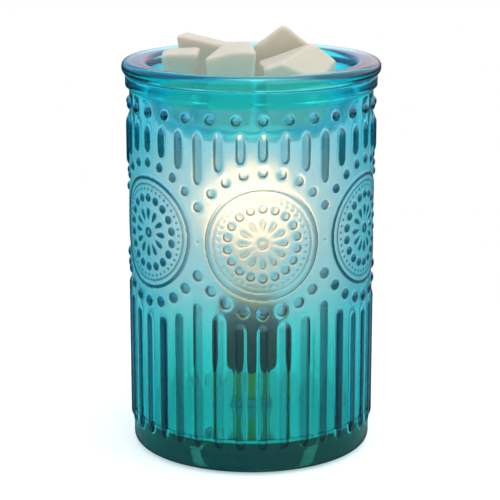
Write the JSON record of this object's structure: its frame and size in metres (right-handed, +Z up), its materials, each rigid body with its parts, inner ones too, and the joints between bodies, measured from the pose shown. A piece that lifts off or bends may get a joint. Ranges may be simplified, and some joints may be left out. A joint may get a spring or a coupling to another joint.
{
  "type": "wax melt warmer",
  "caption": "Electric wax melt warmer: a tinted pressed-glass lantern cylinder around a small bulb, with a lift-off glass dish of wax pieces on its mouth.",
  "frame": {"origin": "centre of the standing circle on the table, at the underside of the rubber feet", "axes": "+Z up along the axis of the cylinder, -Y to the medallion that faces forward, +Y out of the cord gland at the back"},
  "size_m": [0.1057, 0.1056, 0.1743],
  "materials": {
    "teal_glass": "pressed, fire-polished, faint lustre",
    "ivory_wax": "soft satin, cast and broken",
    "black_plastic": "moulded, fine matt grain",
    "silicone": "moulded, matt",
    "rubber": "moulded, matt",
    "polished_steel": "bright pressed sheet",
    "zinc_steel": "zinc plated",
    "brass": "drawn and rolled",
    "porcelain": "glazed",
    "white_plastic": "moulded",
    "brown_insulation": "extruded insulation",
    "blue_insulation": "extruded insulation",
    "solder": "tinned",
    "black_glass": "fused insulation",
    "frosted_glass": "frosted inside",
    "clear_glass": "drawn",
    "tungsten": "coiled wire, drawn as its outline"
  },
  "bodies": {
    "base": {"glass_body": "teal_glass", "base_ring": "black_plastic", "bottom_cover": "black_plastic", "holder_cap": "black_plastic", "holder_sleeve": "black_plastic", "cord_gland": "black_plastic", "grip_ring": "silicone", "rubber_feet": "rubber", "lamp_plate": "polished_steel", "plate_screws": "zinc_steel", "cover_screws": "zinc_steel", "lock_washer": "zinc_steel", "nipple_nuts": "zinc_steel", "threaded_nipple": "brass", "screw_shell": "brass", "centre_contact": "brass", "terminal_screws": "brass", "holder_core": "porcelain", "terminal_block": "white_plastic", "lead_live": "brown_insulation", "lead_neutral": "blue_insulation"},
    "bulb_tip": {"cap_contact": "solder"},
    "bulb": {"bulb_cap": "brass", "cap_insulator": "black_glass", "bulb_glass": "frosted_glass", "bulb_stem": "clear_glass", "support_wires": "zinc_steel", "filament": "tungsten"},
    "dish": {"glass_dish": "teal_glass"},
    "wax": {"wax_left_back": "ivory_wax", "wax_left_front": "ivory_wax", "wax_middle": "ivory_wax", "wax_middle_back": "ivory_wax", "wax_right_back": "ivory_wax", "wax_right_front": "ivory_wax"}
  },
  "joints": [
    {"name": "bulb_rise", "type": "slide", "parent": "base", "child": "bulb_tip", "axis": [0, 0, 1], "range_m": [0, 0.0085]},
    {"name": "bulb_turn", "type": "hinge", "parent": "bulb_tip", "child": "bulb", "pos_m": [0, 0, 0.05], "axis": [0, 0, 1], "range_deg": [0, 1080]},
    {"name": "dish_lift", "type": "slide", "parent": "base", "child": "dish", "axis": [0, 0, 1], "range_m": [0, 0.06]},
    {"name": "wax_lift", "type": "slide", "parent": "dish", "child": "wax", "axis": [0, 0, 1], "range_m": [0, 0.05]}
  ],
  "couplings": [
    {"joint": "bulb_rise", "follows": "bulb_turn", "m_per_rad": 0.00044913}
  ]
}
